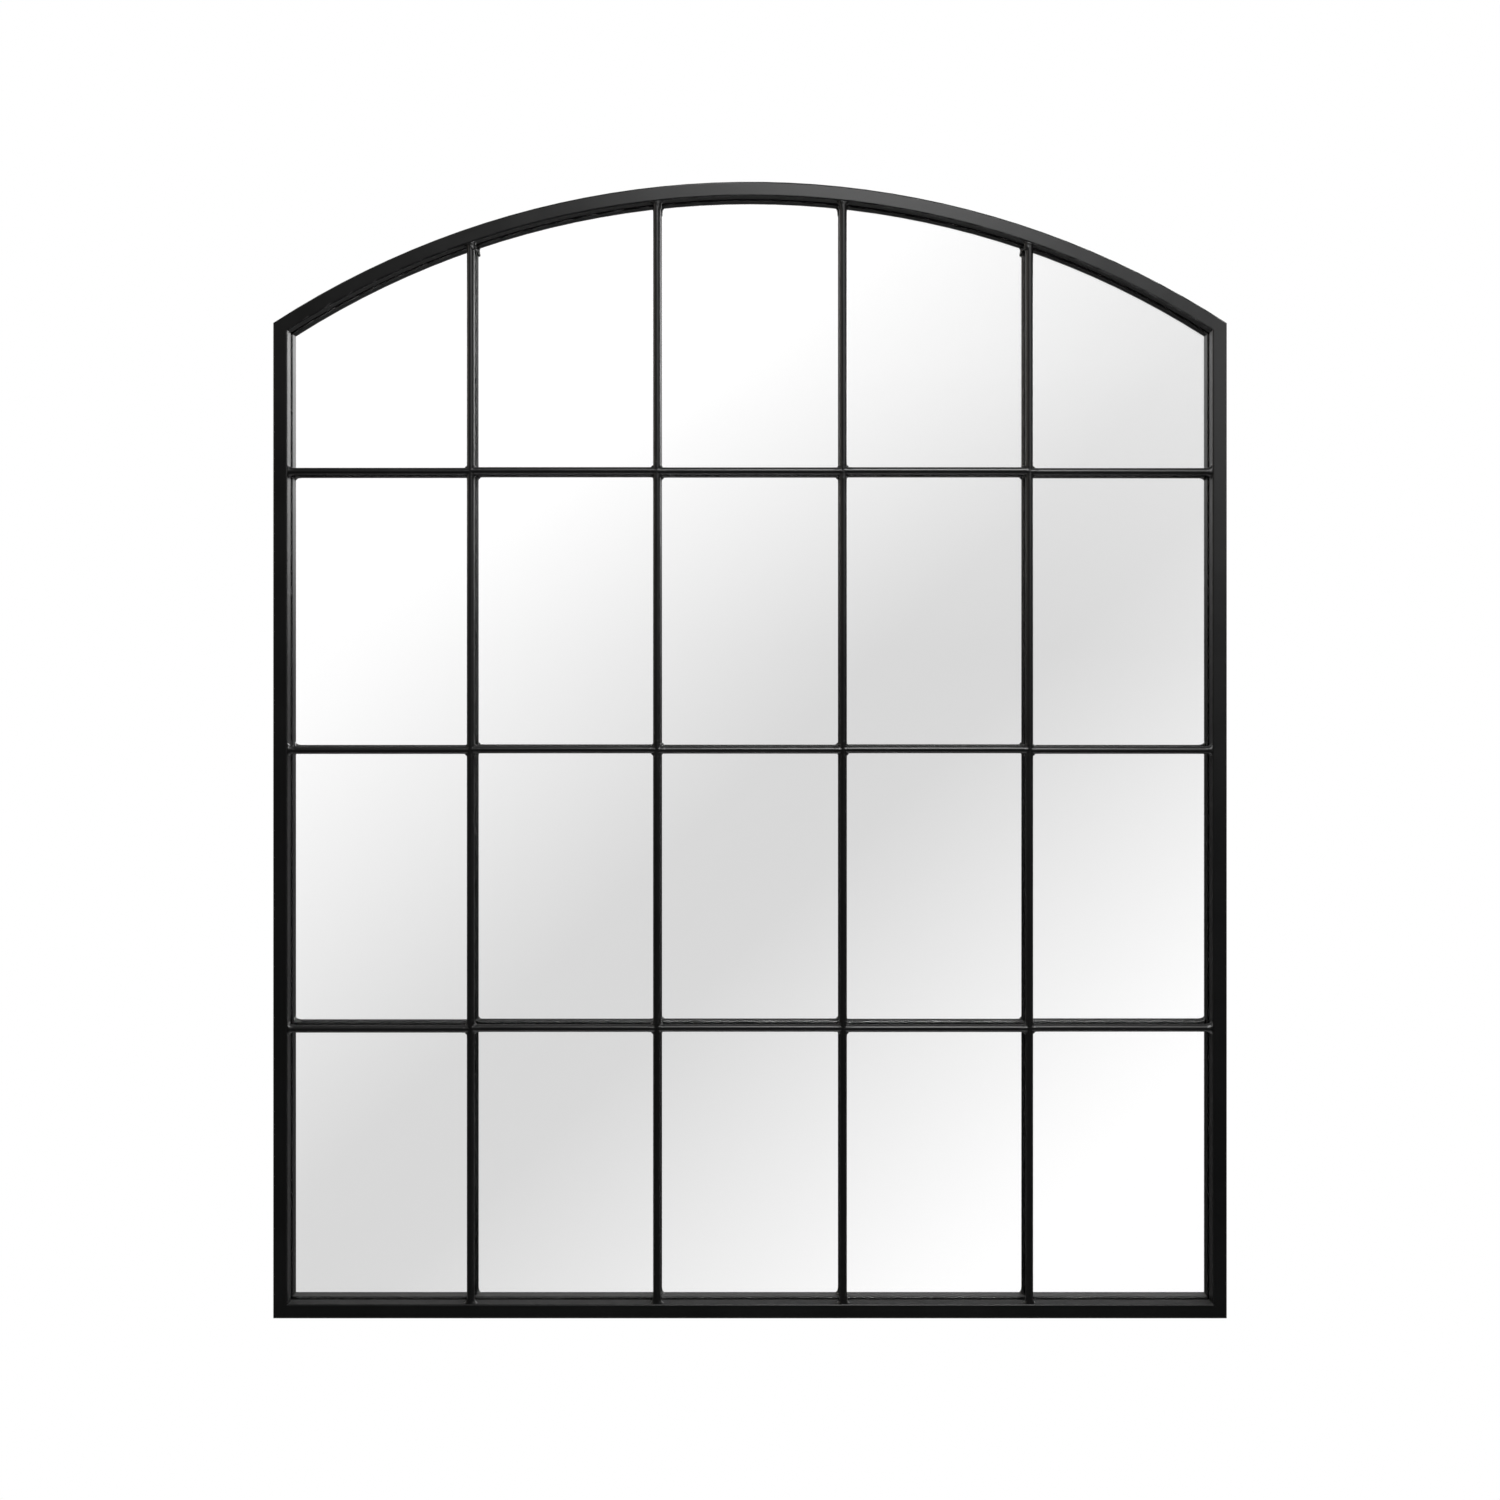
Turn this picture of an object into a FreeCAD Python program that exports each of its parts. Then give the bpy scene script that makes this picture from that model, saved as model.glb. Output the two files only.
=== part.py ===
import FreeCAD, Part
import math
import os
import re

import Sketcher

# Arched window mirror: a welded steel window frame with a grid of round bars in front of one
# arched sheet of mirror glass.
#
# Frame of the model, in millimetres: +X to the right of someone who looks at the mirror, +Y
# towards the wall, +Z up. The wall is the plane Y = 0. The origin is midway between the two hook
# points on the wall. Heights in the formulas below are counted from the frame's bottom edge, and
# place() takes them down to the hook line.

COLUMNS = 5
ROWS = 4

DIMENSIONS = {
    # Outline of the frame.
    "overall_width": 1000,
    "overall_height": 1192,
    "arch_rise": 148,
    # Square tube of the frame and the flat strip behind it that makes the rebate.
    "tube_face": 15,
    "tube_depth": 15,
    "tube_wall": 1.2,
    "tube_radius": 1.5,
    "strip_thickness": 2,
    # Round glazing bars and their weld fillets.
    "bar_diameter": 8,
    "bar_setback": 0.5,
    "crossing_weld_leg": 3,
    "frame_weld_leg": 4,
    "weld_inset": 0.8,
    # What lies in the rebate, from front to back.
    "gasket_thickness": 1,
    "gasket_width": 8,
    "gasket_setback": 2,
    "glass_thickness": 4,
    "edge_clearance": 1.5,
    "tape_thickness": 1,
    "tape_width": 25,
    "tape_margin": 105,
    "panel_thickness": 9,
    "back_recess": 6,
    # Tabs that hold the panel, and the screws.
    "tab_width": 24,
    "tab_length": 22,
    "tab_thickness": 1.2,
    "tab_corner": 5,
    "tab_end_margin": 150,
    "screw_shank": 3.4,
    "screw_head": 7,
    "screw_head_height": 1.8,
    "screw_tip_cover": 1,
    "screw_hole_clearance": 0.1,
    "screw_edge_distance": 8,
    # Hangers: a folded strap with a swinging ring.
    "hook_spacing": 600,
    "hook_drop": 232,
    "ring_wire": 3,
    "ring_width": 21,
    "ring_corner": 3,
    "ring_leg": 3,
    "ring_play": 0.3,
    "ring_screw_gap": 1,
    "strap_thickness": 1,
    "strap_side_play": 0.5,
    "strap_hem": 3.2,
    "strap_screw_pitch": 12,
    # Rubber bumpers between the panel and the wall.
    "bumper_diameter": 20,
    "bumper_taper": 1,
    "bumper_edge_radius": 1,
    "bumper_proud": 1.5,
    "bumper_inset": 45,
}

# Each short length of a row was set by hand, so it sits a little high or low. One line per row
# from the bottom up, one value per column from the left, in millimetres.
BAR_JOGS = (
    (-0.5, 0.2, 0.4, 0.1, 0.5),
    (-0.3, 0.3, 0.0, 0.4, -0.2),
    (-0.2, 0.5, 0.2, 0.4, -0.5),
)

LEFT = -1
RIGHT = 1
SIDES = {"left": LEFT, "right": RIGHT}

# Formulas that several pieces share. Heights are above the bottom edge.
HALF_WIDTH = "(overall_width / 2)"
SIDE_HEIGHT = "(overall_height - arch_rise)"
ARCH_RADIUS = "((overall_width ^ 2 / 4 + arch_rise ^ 2) / (2 * arch_rise))"
ARCH_CENTRE = f"(overall_height - {ARCH_RADIUS})"
HOOK_HEIGHT = "(overall_height - hook_drop)"

# Depths, from the wall to the front.
FRAME_BACK = "(-bumper_proud)"
PANEL_BACK = f"({FRAME_BACK} - back_recess)"
PANEL_FRONT = f"({PANEL_BACK} - panel_thickness)"
GLASS_BACK = f"({PANEL_FRONT} - tape_thickness)"
GLASS_FRONT = f"({GLASS_BACK} - glass_thickness)"
TUBE_BACK = f"({GLASS_FRONT} - gasket_thickness)"
FRAME_FRONT = f"({TUBE_BACK} - tube_depth)"
BAR_AXIS_DEPTH = f"({FRAME_FRONT} + bar_setback + bar_diameter / 2)"
STRIP_DEPTH = f"({FRAME_BACK} - {TUBE_BACK})"

# The grid: all panes are equally wide and equally high between the bars.
OPENING_WIDTH = "(overall_width - 2 * tube_face)"
OPENING_HEIGHT = "(overall_height - 2 * tube_face)"
PANE_WIDTH = f"(({OPENING_WIDTH} - {COLUMNS - 1} * bar_diameter) / {COLUMNS})"
PANE_HEIGHT = f"(({OPENING_HEIGHT} - {ROWS - 1} * bar_diameter) / {ROWS})"

# Hangers. The pivot lies below the hook line by the height of the ring's eye.
RING_STRAIGHT = "(ring_width - 2 * ring_corner)"
RING_EYE = "(ring_corner + ring_leg + ring_width / 2 - ring_wire / 2)"
KNUCKLE_BORE = "(ring_wire / 2 + ring_play)"
KNUCKLE_OUTSIDE = f"({KNUCKLE_BORE} + strap_thickness)"
PIVOT_DEPTH = f"({PANEL_BACK} + {KNUCKLE_OUTSIDE})"
PIVOT_HEIGHT = f"({HOOK_HEIGHT} - {RING_EYE})"
STRAP_WIDTH = f"({RING_STRAIGHT} - 2 * strap_side_play)"

FACING_WALL = FreeCAD.Rotation(FreeCAD.Vector(1, 0, 0), -90)
FACING_RIGHT = FreeCAD.Rotation(FreeCAD.Vector(0, 1, 0), 90)

document = FreeCAD.newDocument("arched_window_mirror")
sub_parts = []


def formula(text):
    """Writes the sheet's name in front of each dimension in a formula."""

    def with_sheet(match):
        word = match.group()
        return f"Dimensions.{word}" if word in DIMENSIONS else word

    return re.sub(r"[a-z_]+", with_sheet, text)


def bind(piece, formulas):
    """Ties properties of a piece to formulas of the dimensions."""
    for path, text in formulas.items():
        piece.setExpression(path, formula(text))


def place(piece, across="0", depth="0", up=HOOK_HEIGHT):
    """Ties a piece's place: across from the middle, depth from the wall, up from the bottom."""
    bind(
        piece,
        {
            "Placement.Base.x": across,
            "Placement.Base.y": depth,
            "Placement.Base.z": f"{up} - {HOOK_HEIGHT}",
        },
    )
    return piece


def finished(piece):
    """Marks a piece as one that is written to a file of its own."""
    sub_parts.append(piece)
    return piece


# Plain solids and how they are combined.


def box(label, across, depth, up, width, thickness, height):
    """A block whose corner nearest the left, the front and the bottom is given."""
    piece = document.addObject("Part::Box", label)
    bind(piece, {"Length": width, "Width": thickness, "Height": height})
    return place(piece, across, depth, up)


def cylinder(label, rotation, across, depth, up, radius, length):
    """A round solid that starts at the given point and runs along the turned Z axis."""
    piece = document.addObject("Part::Cylinder", label)
    piece.Placement.Rotation = rotation
    bind(piece, {"Radius": radius, "Height": length})
    return place(piece, across, depth, up)


def combined(kind, label, base, tool):
    """A Part::Cut or a Part::Common of two pieces."""
    piece = document.addObject(kind, label)
    piece.Base = base
    piece.Tool = tool
    return piece


def group(label, members):
    """Several separate solids under one name."""
    piece = document.addObject("Part::Compound", label)
    piece.Links = members
    return piece


def copy_of(template, label, across, depth, up, turn="0"):
    """A copy of a template, turned about the Y axis and put in its place."""
    piece = document.addObject("App::Link", label)
    piece.LinkedObject = template
    piece.LinkTransform = True
    piece.Placement.Rotation = FreeCAD.Rotation(FreeCAD.Vector(0, 1, 0), 1)
    bind(piece, {"Placement.Rotation.Angle": turn})
    return place(piece, across, depth, up)


# Sketched solids.


def origin_feature(body, role):
    """One of a body's own origin planes or axes."""
    return next(item for item in body.Origin.OriginFeatures if item.Role == role)


def new_sketch(body, name, plane):
    """A sketch on one of the body's origin planes."""
    sketch = body.newObject("Sketcher::SketchObject", name)
    sketch.AttachmentSupport = [(origin_feature(body, plane), "")]
    sketch.MapMode = "FlatFace"
    return sketch


def draw_polygon(sketch, corners):
    """Straight sides through corners, each a pair of formulas counted from the origin."""
    count = len(corners)
    rough = [
        FreeCAD.Vector(math.cos(step * math.tau / count), math.sin(step * math.tau / count), 0)
        for step in range(count)
    ]
    first = sketch.GeometryCount
    for step in range(count):
        sketch.addGeometry(Part.LineSegment(rough[step], rough[(step + 1) % count]), False)
    for step in range(count):
        following = (step + 1) % count
        sketch.addConstraint(Sketcher.Constraint("Coincident", first + step, 2, first + following, 1))
    for step, (across, up) in enumerate(corners):
        pin_point(sketch, first + step, 1, rough[step], across, up)


def pin_point(sketch, geometry, point, rough, across, up):
    """Ties a sketch point's two distances from the origin to formulas."""
    for direction, start, text in (("DistanceX", rough.x, across), ("DistanceY", rough.y, up)):
        index = sketch.addConstraint(Sketcher.Constraint(direction, -1, 1, geometry, point, start))
        sketch.setExpression(f"Constraints[{index}]", formula(text))


def draw_rectangle(sketch, left, right, bottom, top):
    """A rectangle between four formulas."""
    draw_polygon(sketch, [(left, bottom), (right, bottom), (right, top), (left, top)])


def add_pad(body, sketch, length):
    """Extrudes a sketch, half to each side of its plane."""
    pad = body.newObject("PartDesign::Pad", sketch.Name + "_pad")
    pad.Profile = sketch
    pad.SideType = "Symmetric"
    bind(pad, {"Length": length})
    body.Tip = pad
    return pad


def add_pocket(body, sketch):
    """Cuts a sketch through everything, to both sides of its plane."""
    pocket = body.newObject("PartDesign::Pocket", sketch.Name + "_pocket")
    pocket.Profile = sketch
    pocket.Type = "ThroughAll"
    pocket.SideType = "Symmetric"
    body.Tip = pocket
    return pocket


def add_turned(body, kind, sketch, angle):
    """Revolves or grooves a sketch about the body's Y axis, half to each side of its plane."""
    turned = body.newObject(kind, sketch.Name + "_turned")
    turned.Profile = sketch
    turned.ReferenceAxis = (origin_feature(body, "Y_Axis"), [""])
    turned.Midplane = True
    bind(turned, {"Angle": angle})
    body.Tip = turned
    return turned


def long_edges(feature):
    """Names of the edges that run the length of a bar-like solid."""
    document.recompute()
    edges = feature.Shape.Edges
    longest = max(edge.Length for edge in edges)
    return [f"Edge{number}" for number, edge in enumerate(edges, 1) if edge.Length > longest / 2]


def add_fillet(body, feature, edges, radius):
    """Rounds edges of a feature."""
    fillet = body.newObject("PartDesign::Fillet", feature.Name + "_fillet")
    fillet.Base = (feature, edges)
    bind(fillet, {"Radius": radius})
    body.Tip = fillet
    return fillet


# Frame members. A member is as wide in front as its face, seen from the front, and each mitre
# runs from the outside corner to the inside corner of the two members that meet there.


def top_mitre(face):
    """Outside and inside corner where the arch meets the right stile, above the bottom edge."""
    inside = f"{HALF_WIDTH} - {face}"
    inside_up = f"{ARCH_CENTRE} + sqrt(({ARCH_RADIUS} - {face}) ^ 2 - ({inside}) ^ 2)"
    return (HALF_WIDTH, SIDE_HEIGHT), (inside, inside_up)


def bottom_mitre(face):
    """Outside and inside corner where the bottom rail meets the right stile."""
    return (HALF_WIDTH, "0"), (f"{HALF_WIDTH} - {face}", face)


def cut_mitre(body, name, side, mitre, removed_along, removed_up, level="0"):
    """Cuts a member off along a mitre line, on the side that the two distances point to.

    The line is drawn past both corners by twice its length. Level is the height of the body's
    own origin above the bottom edge.
    """
    (out_x, out_up), (in_x, in_up) = mitre
    outer = (f"3 * ({out_x}) - 2 * ({in_x})", f"3 * ({out_up}) - 2 * ({in_up}) - {level}")
    inner = (f"3 * ({in_x}) - 2 * ({out_x})", f"3 * ({in_up}) - 2 * ({out_up}) - {level}")
    corners = [outer, inner]
    for across, up in (inner, outer):
        corners.append((f"{across} + {removed_along}", f"{up} + {removed_up}"))
    mirrored = [(f"{side} * ({across})", up) for across, up in corners]
    sketch = new_sketch(body, name, "XZ_Plane")
    draw_polygon(sketch, mirrored)
    return add_pocket(body, sketch)


def hollow(body, name, plane, rectangle, cut):
    """Takes the inside out of a tube, one wall in from its outside."""
    left, right, bottom, top = rectangle
    sketch = new_sketch(body, name, plane)
    draw_rectangle(
        sketch,
        f"{left} + tube_wall",
        f"{right} - tube_wall",
        f"{bottom} + tube_wall",
        f"{top} - tube_wall",
    )
    cut(sketch)


def stile(label, side, face, depth, front, is_tube):
    """An upright of the frame, mitred to the bottom rail and to the arch."""
    body = document.addObject("PartDesign::Body", label)
    near = f"{HALF_WIDTH} - {face}"
    edges = (near, HALF_WIDTH) if side == RIGHT else (f"-{HALF_WIDTH}", f"-({near})")
    rectangle = (*edges, "0", depth)
    section = new_sketch(body, label + "_section", "XY_Plane")
    draw_rectangle(section, *rectangle)
    blank = add_pad(body, section, "2 * overall_height")
    if is_tube:
        add_fillet(body, blank, long_edges(blank), "tube_radius")
        hollow(body, label + "_bore", "XY_Plane", rectangle, lambda bore: add_pocket(body, bore))
    beyond = "overall_height"
    cut_mitre(body, label + "_top", side, top_mitre(face), "0", beyond)
    cut_mitre(body, label + "_foot", side, bottom_mitre(face), "0", f"-2 * {beyond}")
    return place(body, "0", front, "0")


def bottom_member(label, face, depth, front, is_tube):
    """The frame's bottom, mitred to both stiles."""
    body = document.addObject("PartDesign::Body", label)
    rectangle = ("0", depth, "0", face)
    section = new_sketch(body, label + "_section", "YZ_Plane")
    draw_rectangle(section, *rectangle)
    blank = add_pad(body, section, "overall_width")
    if is_tube:
        add_fillet(body, blank, long_edges(blank), "tube_radius")
        hollow(body, label + "_bore", "YZ_Plane", rectangle, lambda bore: add_pocket(body, bore))
    for name, side in SIDES.items():
        cut_mitre(body, f"{label}_{name}_end", side, bottom_mitre(face), f"3 * {face}", "0")
    return place(body, "0", front, "0")


def arched_member(label, face, depth, front, is_tube):
    """The frame's rolled head, mitred to both stiles. Its body's origin is the arch's centre."""
    body = document.addObject("PartDesign::Body", label)
    rectangle = ("0", depth, f"{ARCH_RADIUS} - {face}", ARCH_RADIUS)
    sweep = f"2 * asin(({HALF_WIDTH} + {face}) / {ARCH_RADIUS})"
    section = new_sketch(body, label + "_section", "YZ_Plane")
    draw_rectangle(section, *rectangle)
    blank = add_turned(body, "PartDesign::Revolution", section, sweep)
    if is_tube:
        add_fillet(body, blank, long_edges(blank), "tube_radius")
        hollow(
            body,
            label + "_bore",
            "YZ_Plane",
            rectangle,
            lambda bore: add_turned(body, "PartDesign::Groove", bore, sweep),
        )
    for name, side in SIDES.items():
        mitre = top_mitre(face)
        cut_mitre(body, f"{label}_{name}_end", side, mitre, "0", f"-6 * {face}", ARCH_CENTRE)
    return place(body, "0", front, ARCH_CENTRE)


def add_frame():
    """Four mitred tubes and, behind them, the four strips that make the rebate."""
    members = (
        ("tube", "tube_face", "tube_depth", FRAME_FRONT, True),
        ("rebate_strip", "strip_thickness", STRIP_DEPTH, TUBE_BACK, False),
    )
    for kind, face, depth, front, is_tube in members:
        for name, side in SIDES.items():
            finished(stile(f"{name}_stile_{kind}", side, face, depth, front, is_tube))
        finished(bottom_member(f"bottom_{kind}", face, depth, front, is_tube))
        finished(arched_member(f"arched_head_{kind}", face, depth, front, is_tube))


# Arched sheets.


def arch_disc(label, inset, depth, thickness):
    """A disc whose top follows the arch, inset from the outside of the frame."""
    radius = f"{ARCH_RADIUS} - ({inset})"
    return cylinder(label, FACING_WALL, "0", depth, ARCH_CENTRE, radius, thickness)


def arched_sheet(label, inset, depth, thickness):
    """A sheet with an arched top, inset from the outside of the frame on all sides."""
    width = f"overall_width - 2 * ({inset})"
    left = f"{inset} - {HALF_WIDTH}"
    block = box(label + "_block", left, depth, inset, width, thickness, "overall_height")
    disc = arch_disc(label + "_disc", inset, depth, thickness)
    return combined("Part::Common", label, block, disc)


# Glazing bars.


def column_across(line):
    """Middle of an upright bar. Line 0 would be the left stile's inside."""
    middle = COLUMNS / 2
    return f"({line - middle}) * ({PANE_WIDTH} + bar_diameter)"


def row_up(line):
    """Middle of a row of bars. Line 0 would be the bottom rail's inside."""
    return f"tube_face + {line} * ({PANE_HEIGHT} + bar_diameter) - bar_diameter / 2"


def add_bars(opening):
    """Upright bars from the bottom rail to the arch, and short bars between them in rows."""
    uprights = []
    for line in range(1, COLUMNS):
        label = f"vertical_bar_{line}"
        across = column_across(line)
        blank = cylinder(
            label + "_blank",
            FreeCAD.Rotation(),
            across,
            BAR_AXIS_DEPTH,
            "tube_face",
            "bar_diameter / 2",
            "overall_height",
        )
        uprights.append(finished(combined("Part::Common", label, blank, opening)))
    all_uprights = group("all_uprights", uprights)
    lengths = []
    for row, jogs in enumerate(BAR_JOGS, start=1):
        for column, jog in enumerate(jogs, start=1):
            label = f"row_{row}_bar_{column}"
            start = column_across(column - 1) if column > 1 else f"-{OPENING_WIDTH} / 2"
            end = column_across(column) if column < COLUMNS else f"{OPENING_WIDTH} / 2"
            blank = cylinder(
                label + "_blank",
                FACING_RIGHT,
                start,
                BAR_AXIS_DEPTH,
                f"{row_up(row)} + ({jog})",
                "bar_diameter / 2",
                f"{end} - ({start})",
            )
            lengths.append(finished(combined("Part::Cut", label, blank, all_uprights)))
    return uprights + lengths


# Welds. A weld starts as a square prism on its corner, centred where the bars meet. What is left
# of it beside the bars and inside the frame are the fillets in the corners.


def weld_blank(label, across, up, leg):
    """A square prism that reaches past the crossing of two bars' silhouettes by the leg."""
    prism = document.addObject("Part::Prism", label)
    prism.Polygon = 4
    prism.Placement.Rotation = FACING_WALL
    bind(prism, {"Circumradius": leg, "Height": "bar_diameter - 2 * weld_inset"})
    return place(prism, across, f"{BAR_AXIS_DEPTH} - bar_diameter / 2 + weld_inset", up)


def add_welds(opening, bars):
    """Fillets at the crossings and where the bars meet the frame."""
    crossing_reach = "bar_diameter + crossing_weld_leg"
    frame_reach = "bar_diameter / 2 + frame_weld_leg"
    crossings = []
    ends = []
    for line in range(1, COLUMNS):
        across = column_across(line)
        arch_up = f"{ARCH_CENTRE} + sqrt(({ARCH_RADIUS} - tube_face) ^ 2 - ({across}) ^ 2)"
        ends.append(weld_blank(f"foot_weld_{line}", across, "tube_face", frame_reach))
        ends.append(weld_blank(f"head_weld_{line}", across, arch_up, frame_reach))
        for row in range(1, ROWS):
            label = f"crossing_weld_{line}_{row}"
            crossings.append(weld_blank(label, across, row_up(row), crossing_reach))
    for row, jogs in enumerate(BAR_JOGS, start=1):
        for name, side in SIDES.items():
            jog = jogs[0] if side == LEFT else jogs[-1]
            wall = f"{side} * {OPENING_WIDTH} / 2"
            up = f"{row_up(row)} + ({jog})"
            ends.append(weld_blank(f"{name}_weld_{row}", wall, up, frame_reach))
    all_bars = group("all_bars", bars)
    for label, blanks in (("crossing_welds", crossings), ("frame_welds", ends)):
        inside = combined("Part::Common", label + "_inside", group(label + "_blanks", blanks), opening)
        finished(combined("Part::Cut", label, inside, all_bars))


# Screws, and the holes for them.


def screw(label, grip):
    """A pan-head screw along Y with its head's underside at the origin and its tip to the front."""
    body = document.addObject("PartDesign::Body", label)
    profile = new_sketch(body, label + "_profile", "XY_Plane")
    shank = "screw_shank / 2"
    tip = f"-({grip} + panel_thickness - screw_tip_cover)"
    draw_polygon(
        profile,
        [
            ("0", tip),
            (shank, f"{tip} + screw_shank"),
            (shank, "0"),
            ("screw_head / 2", "0"),
            ("screw_head / 2", "screw_head_height / 2"),
            ("screw_head / 3", "screw_head_height"),
            ("0", "screw_head_height"),
        ],
    )
    add_turned(body, "PartDesign::Revolution", profile, "360")
    return body


def screw_hole(label):
    """A round hole for a screw, that leaves the panel's front skin whole."""
    hole = document.addObject("Part::Cylinder", label)
    hole.Placement.Rotation = FACING_WALL
    radius = "screw_shank / 2 + screw_hole_clearance"
    bind(hole, {"Radius": radius, "Height": "panel_thickness - screw_tip_cover / 2"})
    bind(hole, {"Placement.Base.y": "screw_tip_cover / 2 - panel_thickness"})
    return hole


# Tabs over the panel's edge.


def tab_template():
    """A tab that starts at the strip and reaches down over the panel, with its screw hole."""
    body = document.addObject("PartDesign::Body", "tab_template")
    outline = new_sketch(body, "tab_outline", "XZ_Plane")
    draw_rectangle(outline, "-tab_width / 2", "tab_width / 2", "-tab_length", "0")
    plate = add_pad(body, outline, "tab_thickness")
    document.recompute()
    corners = [
        f"Edge{number}"
        for number, edge in enumerate(plate.Shape.Edges, 1)
        if edge.CenterOfMass.z < plate.Shape.BoundBox.ZMin + 0.01
        and abs(edge.tangentAt(edge.FirstParameter).y) > 0.99
    ]
    add_fillet(body, plate, corners, "tab_corner")
    hole = new_sketch(body, "tab_hole", "XZ_Plane")
    circle = Part.Circle(FreeCAD.Vector(0, -1, 0), FreeCAD.Vector(0, 0, 1), 1)
    hole.addGeometry(circle, False)
    pin_point(hole, 0, 3, FreeCAD.Vector(0, -1, 0), "0", "screw_edge_distance - tab_length")
    index = hole.addConstraint(Sketcher.Constraint("Radius", 0, 1))
    hole.setExpression(f"Constraints[{index}]", formula("screw_shank / 2 + screw_hole_clearance"))
    add_pocket(body, hole)
    return body


def tab_seats():
    """Where each tab meets its strip, and the way it points: (name, across, up, turn)."""
    inside = f"{HALF_WIDTH} - strip_thickness"
    seats = []
    for name, side in SIDES.items():
        heights = ("tab_end_margin", f"{SIDE_HEIGHT} / 2", f"{SIDE_HEIGHT} - tab_end_margin")
        for number, up in enumerate(heights, start=1):
            seats.append((f"{name}_{number}", f"{side} * ({inside})", up, f"{side * 90}"))
    # A tab's two outer corners touch the curved strip.
    reach = f"sqrt(({ARCH_RADIUS} - strip_thickness) ^ 2 - tab_width ^ 2 / 4)"
    for number, step in enumerate((LEFT, 0, RIGHT), start=1):
        across = f"{step} * ({HALF_WIDTH} - tab_end_margin)"
        seats.append((f"bottom_{number}", across, "strip_thickness", "180"))
        turn = f"asin({across} / {reach})"
        up = f"{ARCH_CENTRE} + sqrt({reach} ^ 2 - ({across}) ^ 2)"
        seats.append((f"arch_{number}", across, up, turn))
    return seats


# Hangers. Both pieces are placed from the pivot, the axis of the ring's straight bar.


def ring_bend(label, across, drop, radius, sweep, turn):
    """A bent length of the ring's wire, in the ring's plane."""
    bend = document.addObject("Part::Torus", label)
    bend.Angle3 = sweep
    bend.Placement.Rotation = FreeCAD.Rotation(FreeCAD.Vector(0, 1, 0), turn) * FACING_WALL
    bind(bend, {"Radius1": radius, "Radius2": "ring_wire / 2"})
    return place(bend, across, PIVOT_DEPTH, f"{PIVOT_HEIGHT} - ({drop})")


def hanger_ring(label, middle):
    """A D-ring that hangs from its straight bar: bar, two corners, two legs and a half round."""
    wire = "ring_wire / 2"
    drop = "ring_corner + ring_leg"
    bar_start = f"{middle} - {RING_STRAIGHT} / 2"
    lengths = [
        cylinder(
            label + "_bar",
            FACING_RIGHT,
            bar_start,
            PIVOT_DEPTH,
            PIVOT_HEIGHT,
            wire,
            RING_STRAIGHT,
        ),
        ring_bend(label + "_bow", middle, drop, "ring_width / 2", 180, 0),
    ]
    for name, side in SIDES.items():
        corner_across = f"{middle} + {side} * {RING_STRAIGHT} / 2"
        turn = -90 if side == RIGHT else 180
        lengths.append(
            ring_bend(f"{label}_{name}_corner", corner_across, "ring_corner", "ring_corner", 90, turn)
        )
        lengths.append(
            cylinder(
                f"{label}_{name}_leg",
                FreeCAD.Rotation(),
                f"{middle} + {side} * ring_width / 2",
                PIVOT_DEPTH,
                f"{PIVOT_HEIGHT} - ({drop})",
                wire,
                "ring_leg",
            )
        )
    ring = document.addObject("Part::MultiFuse", label)
    ring.Shapes = lengths
    ring.Refine = True
    return ring


def strap_screw_drops():
    """How far below the pivot the strap's two screws sit, both out of the hanging ring's reach."""
    ring_reach = "ring_corner + ring_leg + ring_width / 2 + ring_wire / 2"
    first = f"({ring_reach} + ring_screw_gap + screw_head / 2)"
    return first, f"({first} + strap_screw_pitch)"


def hanger_strap(label, middle):
    """A strap that lies on the panel, folded round the ring's bar, with two screw holes."""
    left = f"{middle} - {STRAP_WIDTH} / 2"
    leg_length = strap_screw_drops()[-1]
    leg_bottom = f"{PIVOT_HEIGHT} - {leg_length}"
    hem_bottom = f"{PIVOT_HEIGHT} - {KNUCKLE_OUTSIDE} - strap_hem"
    on_leg = f"{PANEL_BACK} + strap_thickness"
    solids = [
        box(
            label + "_leg",
            left,
            PANEL_BACK,
            leg_bottom,
            STRAP_WIDTH,
            "strap_thickness",
            leg_length,
        ),
        box(
            label + "_hem",
            left,
            on_leg,
            hem_bottom,
            STRAP_WIDTH,
            "strap_thickness",
            f"strap_hem + {KNUCKLE_OUTSIDE}",
        ),
        cylinder(
            label + "_end",
            FACING_WALL,
            middle,
            PANEL_BACK,
            leg_bottom,
            f"{STRAP_WIDTH} / 2",
            "strap_thickness",
        ),
        cylinder(
            label + "_knuckle",
            FACING_RIGHT,
            left,
            PIVOT_DEPTH,
            PIVOT_HEIGHT,
            KNUCKLE_OUTSIDE,
            STRAP_WIDTH,
        ),
    ]
    blank = document.addObject("Part::MultiFuse", label + "_blank")
    blank.Shapes = solids
    holes = [
        cylinder(
            label + "_bore",
            FACING_RIGHT,
            left,
            PIVOT_DEPTH,
            PIVOT_HEIGHT,
            KNUCKLE_BORE,
            STRAP_WIDTH,
        )
    ]
    for number, drop in enumerate(strap_screw_drops(), start=1):
        holes.append(
            cylinder(
                f"{label}_hole_{number}",
                FACING_WALL,
                middle,
                f"{PANEL_BACK} - strap_thickness",
                f"{PIVOT_HEIGHT} - {drop}",
                "screw_shank / 2 + screw_hole_clearance",
                "3 * strap_thickness",
            )
        )
    return combined("Part::Cut", label, blank, group(label + "_holes", holes))


# What lies in the rebate.


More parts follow.
